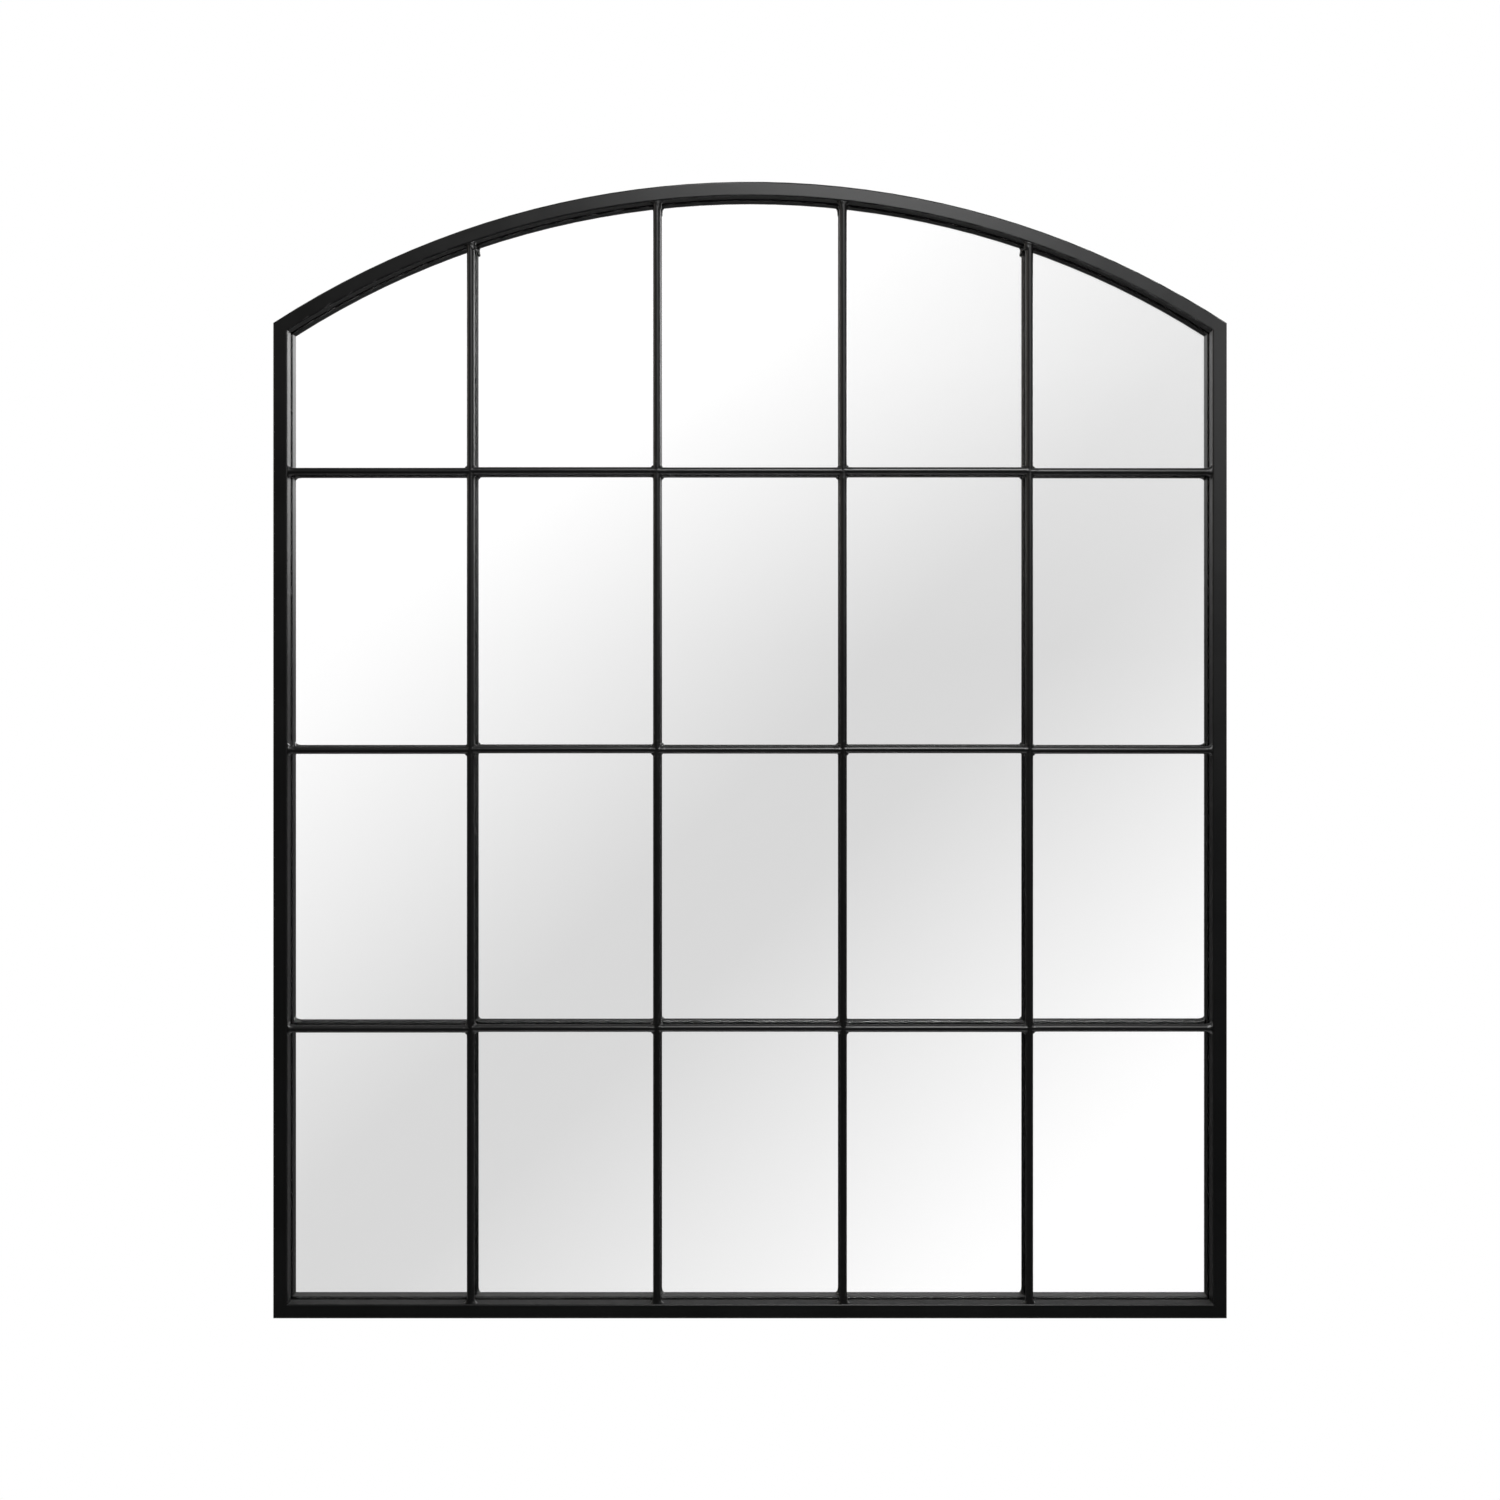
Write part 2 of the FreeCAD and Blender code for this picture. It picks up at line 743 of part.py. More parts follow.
def add_gasket():
    """Foam tape on the back of each tube. Its inner edge stays out of sight."""
    inner = "(tube_face - gasket_setback)"
    outer = f"({inner} - gasket_width)"
    length = f"{SIDE_HEIGHT} - {inner} - {outer}"
    width = f"overall_width - 2 * {inner}"
    thickness = "gasket_thickness"
    left = f"{inner} - {HALF_WIDTH}"
    strips = [box("gasket_bottom", left, TUBE_BACK, outer, width, thickness, "gasket_width")]
    for name, side in SIDES.items():
        label = f"gasket_{name}"
        edge = f"{outer} - {HALF_WIDTH}" if side == LEFT else f"{HALF_WIDTH} - {inner}"
        strips.append(box(label, edge, TUBE_BACK, outer, "gasket_width", thickness, length))
    band = combined(
        "Part::Cut",
        "gasket_arch_band",
        arch_disc("gasket_arch_outside", outer, TUBE_BACK, thickness),
        arch_disc("gasket_arch_inside", inner, TUBE_BACK, thickness),
    )
    upper_half = f"{SIDE_HEIGHT} / 2"
    top = box("gasket_arch_span", left, TUBE_BACK, upper_half, width, thickness, "overall_height")
    strips.append(combined("Part::Common", "gasket_arch", band, top))
    finished(group("glass_gasket", strips))


def add_tape():
    """Upright strips of double-sided tape between the glass and the panel."""
    strips = []
    for line in range(COLUMNS):
        step = line - (COLUMNS - 1) / 2
        reach = f"({HALF_WIDTH} - tape_margin)"
        across = f"{step} * {reach} * 2 / {COLUMNS - 1} - tape_width / 2"
        strips.append(
            box(
                f"tape_{line + 1}",
                across,
                GLASS_BACK,
                "tape_margin",
                "tape_width",
                "tape_thickness",
                f"{SIDE_HEIGHT} - 2 * tape_margin",
            )
        )
    finished(group("mounting_tape", strips))


def add_bumpers():
    """Four rubber bumpers on the panel's corners, that keep the frame off the wall."""
    for name, side in SIDES.items():
        heights = {"lower": "bumper_inset", "upper": f"{SIDE_HEIGHT} - bumper_inset"}
        for level, up in heights.items():
            label = f"{level}_{name}_bumper"
            body = document.addObject("PartDesign::Body", label)
            profile = new_sketch(body, label + "_profile", "XY_Plane")
            thickness = "back_recess + bumper_proud"
            rim = "bumper_diameter / 2"
            draw_polygon(
                profile,
                [("0", "0"), (rim, "0"), (f"{rim} - bumper_taper", thickness), ("0", thickness)],
            )
            turned = add_turned(body, "PartDesign::Revolution", profile, "360")
            document.recompute()
            top = turned.Shape.BoundBox.YMax
            edges = [
                f"Edge{number}"
                for number, edge in enumerate(turned.Shape.Edges, 1)
                if abs(edge.BoundBox.YMin - top) < 0.01 and edge.BoundBox.XLength > 1
            ]
            add_fillet(body, turned, edges, "bumper_edge_radius")
            place(body, f"{side} * ({HALF_WIDTH} - bumper_inset)", PANEL_BACK, up)
            finished(body)


def add_back():
    """Glass, panel, tabs, hangers, and the screws that hold them to the panel."""
    edge = "strip_thickness + edge_clearance"
    finished(arched_sheet("mirror_glass", edge, GLASS_FRONT, "glass_thickness"))
    hole_template = screw_hole("screw_hole_template")
    holes = []

    tab = tab_template()
    tab_screw = screw("tab_screw_template", "tab_thickness")
    tabs = []
    tab_screws = []
    drop = "(tab_length - screw_edge_distance)"
    for name, across, up, turn in tab_seats():
        tabs.append(copy_of(tab, f"tab_{name}", across, f"{PANEL_BACK} + tab_thickness / 2", up, turn))
        screw_across = f"{across} - {drop} * sin({turn})"
        screw_up = f"{up} - {drop} * cos({turn})"
        on_tab = f"{PANEL_BACK} + tab_thickness"
        tab_screws.append(
            copy_of(tab_screw, f"tab_screw_{name}", screw_across, on_tab, screw_up)
        )
        holes.append((f"tab_hole_{name}", screw_across, screw_up))
    finished(group("panel_tabs", tabs))
    finished(group("panel_tab_screws", tab_screws))

    strap_screw = screw("strap_screw_template", "strap_thickness")
    strap_screws = []
    for name, side in SIDES.items():
        middle = f"{side} * hook_spacing / 2"
        finished(hanger_strap(f"{name}_hanger_strap", middle))
        finished(hanger_ring(f"{name}_hanger_ring", middle))
        for number, screw_drop in enumerate(strap_screw_drops(), start=1):
            up = f"{PIVOT_HEIGHT} - {screw_drop}"
            label = f"{name}_{number}"
            on_strap = f"{PANEL_BACK} + strap_thickness"
            strap_screws.append(
                copy_of(strap_screw, f"strap_screw_{label}", middle, on_strap, up)
            )
            holes.append((f"strap_hole_{label}", middle, up))
    finished(group("hanger_screws", strap_screws))

    blank = arched_sheet("backing_panel_blank", edge, PANEL_FRONT, "panel_thickness")
    cutters = []
    for label, across, up in holes:
        cutters.append(copy_of(hole_template, label, across, PANEL_BACK, up))
    finished(combined("Part::Cut", "backing_panel", blank, group("panel_holes", cutters)))


def check_and_export():
    """Writes every piece to its own file, once all of them are known to be sound."""
    document.recompute()
    for item in document.Objects:
        if "Invalid" in item.State or "Error" in item.State:
            raise RuntimeError(f"{item.Label} failed: {item.State}")
    for piece in sub_parts:
        if piece.Shape.isNull() or not piece.Shape.isValid():
            raise RuntimeError(f"{piece.Label} has no valid shape")
    os.makedirs("parts", exist_ok=True)
    for piece in sub_parts:
        piece.Shape.exportStep(f"parts/{piece.Label}.step")
        solids = len(piece.Shape.Solids)
        print(f"{piece.Label}: {solids} solid(s), {piece.Shape.Volume:.0f} mm3")


def add_sheet():
    """The sheet of driving dimensions, one alias and one value per row."""
    sheet = document.addObject("Spreadsheet::Sheet", "Dimensions")
    for row, (name, value) in enumerate(DIMENSIONS.items(), start=1):
        sheet.set(f"A{row}", name)
        sheet.set(f"B{row}", str(value))
        sheet.setAlias(f"B{row}", name)
    document.recompute()


def main():
    """Builds the mirror from the outside of the frame to the bumpers on its back."""
    add_sheet()
    add_frame()
    opening = arched_sheet("frame_opening", "tube_face", FRAME_FRONT, "tube_depth")
    bars = add_bars(opening)
    add_welds(opening, bars)
    add_gasket()
    add_tape()
    add_back()
    add_bumpers()
    check_and_export()


main()
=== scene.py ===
"""Arched window mirror: welded black steel frame with round glazing bars before one mirror sheet.

Metres in the CAD frame: +X right, +Y into the wall, +Z up. Sizes in the classes are in
millimetres, as a metalworker's drawing gives them.
"""

import logging
import math
import random
from dataclasses import dataclass, field
from enum import Enum

import bpy
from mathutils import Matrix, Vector

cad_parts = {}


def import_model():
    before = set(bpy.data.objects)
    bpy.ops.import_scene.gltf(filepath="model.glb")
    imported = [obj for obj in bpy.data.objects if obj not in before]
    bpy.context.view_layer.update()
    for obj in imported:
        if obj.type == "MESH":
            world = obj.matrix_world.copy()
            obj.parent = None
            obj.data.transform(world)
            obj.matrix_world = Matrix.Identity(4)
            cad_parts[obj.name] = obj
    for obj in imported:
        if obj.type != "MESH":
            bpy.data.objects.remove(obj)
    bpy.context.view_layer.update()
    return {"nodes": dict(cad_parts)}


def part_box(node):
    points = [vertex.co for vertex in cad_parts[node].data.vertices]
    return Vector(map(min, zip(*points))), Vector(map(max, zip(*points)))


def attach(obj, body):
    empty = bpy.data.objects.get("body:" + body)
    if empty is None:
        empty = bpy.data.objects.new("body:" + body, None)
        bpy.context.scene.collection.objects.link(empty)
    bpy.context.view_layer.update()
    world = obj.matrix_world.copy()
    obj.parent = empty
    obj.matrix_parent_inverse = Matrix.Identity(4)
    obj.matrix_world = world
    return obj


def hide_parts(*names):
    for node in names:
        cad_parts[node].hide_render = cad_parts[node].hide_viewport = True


LOG = logging.getLogger("arched_window_mirror")
MM = 0.001
FRAME_BODY = "frame"
LEFT = -1
RIGHT = 1


def linear(hex_colour: str) -> tuple[float, float, float, float]:
    """Turns an sRGB hex colour into the linear colour that a shader takes.

    Args:
        hex_colour: Colour such as "#1a2b3c".

    Returns:
        Linear red, green and blue, and an alpha of 1.
    """
    parts = [int(hex_colour[start : start + 2], 16) / 255 for start in (1, 3, 5)]
    shades = [part / 12.92 if part <= 0.04045 else ((part + 0.055) / 1.055) ** 2.4 for part in parts]
    return (shades[0], shades[1], shades[2], 1.0)


def add_node(tree: bpy.types.NodeTree, kind: str, inputs: dict = {}, **settings) -> bpy.types.Node:
    """Adds a node with its settings and links.

    Args:
        tree: Node tree of a material or of the world.
        kind: Blender's name for the kind of node.
        inputs: Input names or numbers with a value, or with the output socket to link from.
        **settings: Properties of the node.

    Returns:
        The new node.
    """
    node = tree.nodes.new(kind)
    for name, value in settings.items():
        setattr(node, name, value)
    for key, value in inputs.items():
        if isinstance(value, bpy.types.NodeSocket):
            tree.links.new(value, node.inputs[key])
        else:
            node.inputs[key].default_value = value
    return node


def empty_material(name: str) -> tuple[bpy.types.Material, bpy.types.NodeTree, bpy.types.NodeSocket]:
    """Starts a material of nodes.

    Args:
        name: The material's name.

    Returns:
        The material, its empty node tree and a socket with Object coordinates.
    """
    material = bpy.data.materials.new(name)
    material.use_nodes = True
    tree = material.node_tree
    tree.nodes.clear()
    place = add_node(tree, "ShaderNodeTexCoord")
    return material, tree, place.outputs["Object"]


def finish_material(tree: bpy.types.NodeTree, shader: bpy.types.Node) -> None:
    """Links a shader to the material's output.

    Args:
        tree: The material's node tree.
        shader: Node whose first output is the surface.
    """
    add_node(tree, "ShaderNodeOutputMaterial", {"Surface": shader.outputs[0]})


def per_metre(size_mm: float) -> float:
    """Scale of a noise texture whose features are this many millimetres apart."""
    return 1 / (size_mm * MM)


# Finishes.


@dataclass(frozen=True)
class PowderCoat:
    """Satin black polyester powder coat, sprayed on mild steel and baked.

    The melted powder dries with a faint orange peel. It hides the grinding marks below it, and
    handling leaves it a little more matt in patches. Loose powder settles on what faces up while
    the frame is sprayed, so the coat is more matt there.
    """

    name: str = "powder_coated_steel"
    colour: str = "#050505"
    dusty_colour: str = "#080808"
    roughness_low: float = 0.29
    roughness_high: float = 0.35
    settled_roughness: float = 0.85
    specular_level: float = 0.5
    peel_mm: float = 1.6
    peel_height_mm: float = 0.004
    patch_mm: float = 70.0

    def build(self) -> bpy.types.Material:
        """Makes the material.

        Returns:
            The material.
        """
        material, tree, place = empty_material(self.name)
        patches = add_node(
            tree,
            "ShaderNodeTexNoise",
            {"Vector": place, "Scale": per_metre(self.patch_mm), "Detail": 4.0, "Roughness": 0.6},
        )
        colour = add_node(
            tree,
            "ShaderNodeMix",
            {
                0: patches.outputs["Fac"],
                6: linear(self.colour),
                7: linear(self.dusty_colour),
            },
            data_type="RGBA",
        )
        roughness = add_node(
            tree,
            "ShaderNodeMapRange",
            {
                "Value": patches.outputs["Fac"],
                "From Min": 0.3,
                "From Max": 0.7,
                "To Min": self.roughness_low,
                "To Max": self.roughness_high,
            },
        )
        shape = add_node(tree, "ShaderNodeNewGeometry")
        normal = add_node(tree, "ShaderNodeSeparateXYZ", {"Vector": shape.outputs["True Normal"]})
        settled = add_node(
            tree,
            "ShaderNodeMapRange",
            {
                "Value": normal.outputs["Z"],
                "From Min": 0.6,
                "From Max": 0.8,
                "To Max": self.settled_roughness,
            },
        )
        gloss = add_node(
            tree,
            "ShaderNodeMath",
            {0: roughness.outputs["Result"], 1: settled.outputs["Result"]},
            operation="MAXIMUM",
        )
        peel = add_node(
            tree, "ShaderNodeTexNoise", {"Vector": place, "Scale": per_metre(self.peel_mm), "Detail": 2.0}
        )
        peeled = add_node(
            tree, "ShaderNodeBump", {"Height": peel.outputs["Fac"], "Distance": self.peel_height_mm * MM}
        )
        shader = add_node(
            tree,
            "ShaderNodeBsdfPrincipled",
            {
                "Base Color": colour.outputs[2],
                "Roughness": gloss.outputs[0],
                "Specular IOR Level": self.specular_level,
                "Normal": peeled.outputs["Normal"],
            },
        )
        finish_material(tree, shader)
        return material


@dataclass(frozen=True)
class ClearGlassFace:
    """Fire-polished face of float glass: clear, and it reflects about a twentieth of the light."""

    name: str = "clear_float_glass"
    reflected_share: float = 0.05

    def build(self) -> bpy.types.Material:
        """Makes the material.

        Returns:
            The material.
        """
        material, tree, _ = empty_material(self.name)
        shader = add_node(
            tree,
            "ShaderNodeBsdfPrincipled",
            {
                "Base Color": (1, 1, 1, 1),
                "Metallic": 1.0,
                "Roughness": 0.0,
                "Alpha": self.reflected_share,
            },
        )
        finish_material(tree, shader)
        return material


@dataclass(frozen=True)
class Silver:
    """Silver poured on the back of float glass: an even, neutral and nearly perfect mirror."""

    name: str = "poured_silver"
    colour: str = "#fdfdfd"

    def build(self) -> bpy.types.Material:
        """Makes the material.

        Returns:
            The material.
        """
        material, tree, _ = empty_material(self.name)
        shader = add_node(
            tree,
            "ShaderNodeBsdfPrincipled",
            {"Base Color": linear(self.colour), "Metallic": 1.0, "Roughness": 0.0},
        )
        finish_material(tree, shader)
        return material


@dataclass(frozen=True)
class GroundGlassEdge:
    """Ground edge of float glass: matt and sea green, because iron tints the long way through."""

    name: str = "ground_glass_edge"
    colour: str = "#5f8f80"
    grit_mm: float = 0.6

    def build(self) -> bpy.types.Material:
        """Makes the material.

        Returns:
            The material.
        """
        material, tree, place = empty_material(self.name)
        grit = add_node(
            tree, "ShaderNodeTexNoise", {"Vector": place, "Scale": per_metre(self.grit_mm), "Detail": 3.0}
        )
        bump = add_node(
            tree, "ShaderNodeBump", {"Height": grit.outputs["Fac"], "Distance": 0.02 * MM}
        )
        shader = add_node(
            tree,
            "ShaderNodeBsdfPrincipled",
            {
                "Base Color": linear(self.colour),
                "Roughness": 0.55,
                "Normal": bump.outputs["Normal"],
            },
        )
        finish_material(tree, shader)
        return material


@dataclass(frozen=True)
class MirrorBackPaint:
    """Grey lacquer curtain-coated over the copper and silver on the back of mirror glass."""

    name: str = "mirror_back_lacquer"
    colour: str = "#7d8286"

    def build(self) -> bpy.types.Material:
        """Makes the material.

        Returns:
            The material.
        """
        material, tree, place = empty_material(self.name)
        flow = add_node(
            tree, "ShaderNodeTexNoise", {"Vector": place, "Scale": per_metre(40.0), "Detail": 2.0}
        )
        roughness = add_node(
            tree,
            "ShaderNodeMapRange",
            {"Value": flow.outputs["Fac"], "To Min": 0.35, "To Max": 0.5},
        )
        shader = add_node(
            tree,
            "ShaderNodeBsdfPrincipled",
            {"Base Color": linear(self.colour), "Roughness": roughness.outputs["Result"]},
        )
        finish_material(tree, shader)
        return material


@dataclass(frozen=True)
class Fibreboard:
    """Raw medium-density fibreboard: sanded faces with fine short fibres, and darker sawn edges."""

    name: str = "raw_fibreboard"
    face_light: str = "#b08f69"
    face_dark: str = "#92734f"
    edge_colour: str = "#7b5f40"
    fibre_mm: float = 2.2
    cloud_mm: float = 120.0

    def build(self) -> bpy.types.Material:
        """Makes the material.

        Returns:
            The material.
        """
        material, tree, place = empty_material(self.name)
        clouds = add_node(
            tree,
            "ShaderNodeTexNoise",
            {"Vector": place, "Scale": per_metre(self.cloud_mm), "Detail": 5.0, "Roughness": 0.65},
        )
        fibres = add_node(
            tree,
            "ShaderNodeTexNoise",
            {
                "Vector": place,
                "Scale": per_metre(self.fibre_mm),
                "Detail": 6.0,
                "Roughness": 0.75,
                "Distortion": 1.6,
            },
        )
        speckled = add_node(
            tree,
            "ShaderNodeMath",
            {0: clouds.outputs["Fac"], 1: fibres.outputs["Fac"]},
            operation="MULTIPLY",
        )
        shade = add_node(
            tree,
            "ShaderNodeMapRange",
            {"Value": speckled.outputs[0], "From Min": 0.12, "From Max": 0.42},
        )
        face = add_node(
            tree,
            "ShaderNodeMix",
            {
                0: shade.outputs["Result"],
                6: linear(self.face_dark),
                7: linear(self.face_light),
            },
            data_type="RGBA",
        )
        shape = add_node(tree, "ShaderNodeNewGeometry")
        normal = add_node(tree, "ShaderNodeSeparateXYZ", {"Vector": shape.outputs["True Normal"]})
        facing = add_node(tree, "ShaderNodeMath", {0: normal.outputs["Y"]}, operation="ABSOLUTE")
        colour = add_node(
            tree,
            "ShaderNodeMix",
            {0: facing.outputs[0], 6: linear(self.edge_colour), 7: face.outputs[2]},
            data_type="RGBA",
        )
        bump = add_node(
            tree, "ShaderNodeBump", {"Height": fibres.outputs["Fac"], "Distance": 0.05 * MM}
        )
        shader = add_node(
            tree,
            "ShaderNodeBsdfPrincipled",
            {
                "Base Color": colour.outputs[2],
                "Roughness": 0.78,
                "Normal": bump.outputs["Normal"],
            },
        )
        finish_material(tree, shader)
        return material


@dataclass(frozen=True)
class ZincPlate:
    """Bright zinc plate on pressed steel: pale metal, clouded by the chromate dip."""

    name: str = "zinc_plated_steel"
    colour: str = "#c3c5c8"
    clouded_colour: str = "#a7a69c"
    cloud_mm: float = 6.0
    scratch_mm: float = 0.5

    def build(self) -> bpy.types.Material:
        """Makes the material.

        Returns:
            The material.
        """
        material, tree, place = empty_material(self.name)
        clouds = add_node(
            tree,
            "ShaderNodeTexNoise",
            {"Vector": place, "Scale": per_metre(self.cloud_mm), "Detail": 3.0},
        )
        colour = add_node(
            tree,
            "ShaderNodeMix",
            {
                0: clouds.outputs["Fac"],
                6: linear(self.colour),
                7: linear(self.clouded_colour),
            },
            data_type="RGBA",
        )
        roughness = add_node(
            tree,
            "ShaderNodeMapRange",
            {"Value": clouds.outputs["Fac"], "To Min": 0.22, "To Max": 0.42},
        )
        grain = add_node(
            tree,
            "ShaderNodeTexNoise",
            {"Vector": place, "Scale": per_metre(self.scratch_mm), "Detail": 2.0},
        )
        bump = add_node(
            tree, "ShaderNodeBump", {"Height": grain.outputs["Fac"], "Distance": 0.006 * MM}
        )
        shader = add_node(
            tree,
            "ShaderNodeBsdfPrincipled",
            {
                "Base Color": colour.outputs[2],
                "Metallic": 1.0,
                "Roughness": roughness.outputs["Result"],
                "Normal": bump.outputs["Normal"],
            },
        )
        finish_material(tree, shader)
        return material


@dataclass(frozen=True)
class Foam:
    """Closed-cell foam tape: dull, with pores that show on its cut sides."""

    name: str
    colour: str
    pore_mm: float = 0.7

    def build(self) -> bpy.types.Material:
        """Makes the material.

        Returns:
            The material.
        """
        material, tree, place = empty_material(self.name)
        pores = add_node(
            tree,
            "ShaderNodeTexVoronoi",
            {"Vector": place, "Scale": per_metre(self.pore_mm)},
        )
        bump = add_node(
            tree, "ShaderNodeBump", {"Height": pores.outputs["Distance"], "Distance": 0.12 * MM}
        )
        shader = add_node(
            tree,
            "ShaderNodeBsdfPrincipled",
            {
                "Base Color": linear(self.colour),
                "Roughness": 0.9,
                "Specular IOR Level": 0.2,
                "Normal": bump.outputs["Normal"],
            },
        )
        finish_material(tree, shader)
        return material


@dataclass(frozen=True)
class MouldedRubber:
    """Moulded rubber from a spark-eroded mould: dark grey, with a fine even grain and a soft sheen."""

    name: str = "moulded_rubber"
    colour: str = "#232324"
    grain_mm: float = 0.45

    def build(self) -> bpy.types.Material:
        """Makes the material.

        Returns:
            The material.
        """
        material, tree, place = empty_material(self.name)
        grain = add_node(
            tree, "ShaderNodeTexNoise", {"Vector": place, "Scale": per_metre(self.grain_mm), "Detail": 1.0}
        )
        bump = add_node(
            tree, "ShaderNodeBump", {"Height": grain.outputs["Fac"], "Distance": 0.03 * MM}
        )
        roughness = add_node(
            tree,
            "ShaderNodeMapRange",
            {"Value": grain.outputs["Fac"], "To Min": 0.55, "To Max": 0.75},
        )
        shader = add_node(
            tree,
            "ShaderNodeBsdfPrincipled",
            {
                "Base Color": linear(self.colour),
                "Roughness": roughness.outputs["Result"],
                "Normal": bump.outputs["Normal"],
            },
        )
        finish_material(tree, shader)
        return material


# Modelling by hand.


def deselect() -> None:
    """Deselects every object, so that an operator acts on the next one alone."""
    if bpy.context.object and bpy.context.object.mode != "OBJECT":
        bpy.ops.object.mode_set(mode="OBJECT")
    bpy.ops.object.select_all(action="DESELECT")


def named(name: str) -> bpy.types.Object:
    """Names the primitive that was just added.

    Args:
        name: The piece's name.

    Returns:
        The new object, active and selected.
    """
    piece = bpy.context.object
    piece.name = name
    piece.data.name = name
    return piece


def modified(piece: bpy.types.Object, kind: str, **settings) -> None:
    """Adds a modifier and applies it.

    Args:
        piece: The active object.
        kind: The modifier's type.
        **settings: Properties of the modifier.
    """
    modifier = piece.modifiers.new(kind.lower(), kind)
    for name, value in settings.items():
        setattr(modifier, name, value)
    bpy.ops.object.modifier_apply(modifier=modifier.name)


def settle(piece: bpy.types.Object, *materials: bpy.types.Material, crease: float = 35.0) -> None:
    """Puts a piece's place in its mesh, dresses it and shades it smooth.

    Args:
        piece: The piece.
        *materials: Its materials, in the order of its slots.
        crease: Angle in degrees from which an edge stays sharp.
    """
    deselect()
    piece.select_set(True)
    bpy.context.view_layer.objects.active = piece
    bpy.ops.object.transform_apply(location=True, rotation=True, scale=True)
    piece.data.materials.clear()
    for material in materials:
        piece.data.materials.append(material)
    bpy.ops.object.shade_smooth_by_angle(angle=math.radians(crease))


def joined(parts: list[bpy.types.Object], name: str) -> bpy.types.Object:
    """Joins parts into one piece.

    Args:
        parts: Objects to join. The first one keeps its object.
        name: The piece's name.

    Returns:
        The piece, active and selected.
    """
    deselect()
    for part in parts:
        part.select_set(True)
    bpy.context.view_layer.objects.active = parts[0]
    if len(parts) > 1:
        bpy.ops.object.join()
    return named(name)


def placed_copy(template: bpy.types.Object, name: str) -> bpy.types.Object:
    """Copies a template with a mesh of its own.

    Args:
        template: Object to copy.
        name: The copy's name.

    Returns:
        The copy.
    """
    copy = template.copy()
    copy.data = template.data.copy()
    copy.name = name
    bpy.context.scene.collection.objects.link(copy)
    return copy


def dress(nodes: dict, material: bpy.types.Material, names: list[str]) -> None:
    """Gives CAD nodes a better material.

    Args:
        nodes: CAD nodes by name.
        material: The material.
        names: Names of the nodes.
    """
    for name in names:
        nodes[name].data.materials.clear()
        nodes[name].data.materials.append(material)
    LOG.info("%s on %d CAD nodes", material.name, len(names))


# Sub-assemblies.


@dataclass
class Outline:
    """The frame's outline, which the sheets behind it follow."""

    half_width: float = 500.0
    bottom: float = -960.0
    arch_radius: float = 918.594
    arch_centre: float = -686.594
    face: float = 15.0
    front: float = -37.5
    tube_back: float = -22.5

    def arch_at(self, across: float, inset: float) -> float:
        """Height of the arch, inset from its outside, at a distance from the middle.

        Args:
            across: Distance from the middle.
            inset: Distance from the outside of the frame.

        Returns:
            Height above the hook line.
        """
        return self.arch_centre + math.sqrt((self.arch_radius - inset) ** 2 - across**2)


@dataclass
class SteelFrame:
    """Mitred square tubes, the rebate strips behind them and the tabs over the panel."""

    coat: bpy.types.Material

    def build(self, nodes: dict) -> None:
        """Dresses the frame's CAD nodes.

        Args:
            nodes: CAD nodes by name.
        """
        members = [name for name in nodes if name.endswith(("_tube", "_rebate_strip"))]
        dress(nodes, self.coat, [*members, "panel_tabs"])


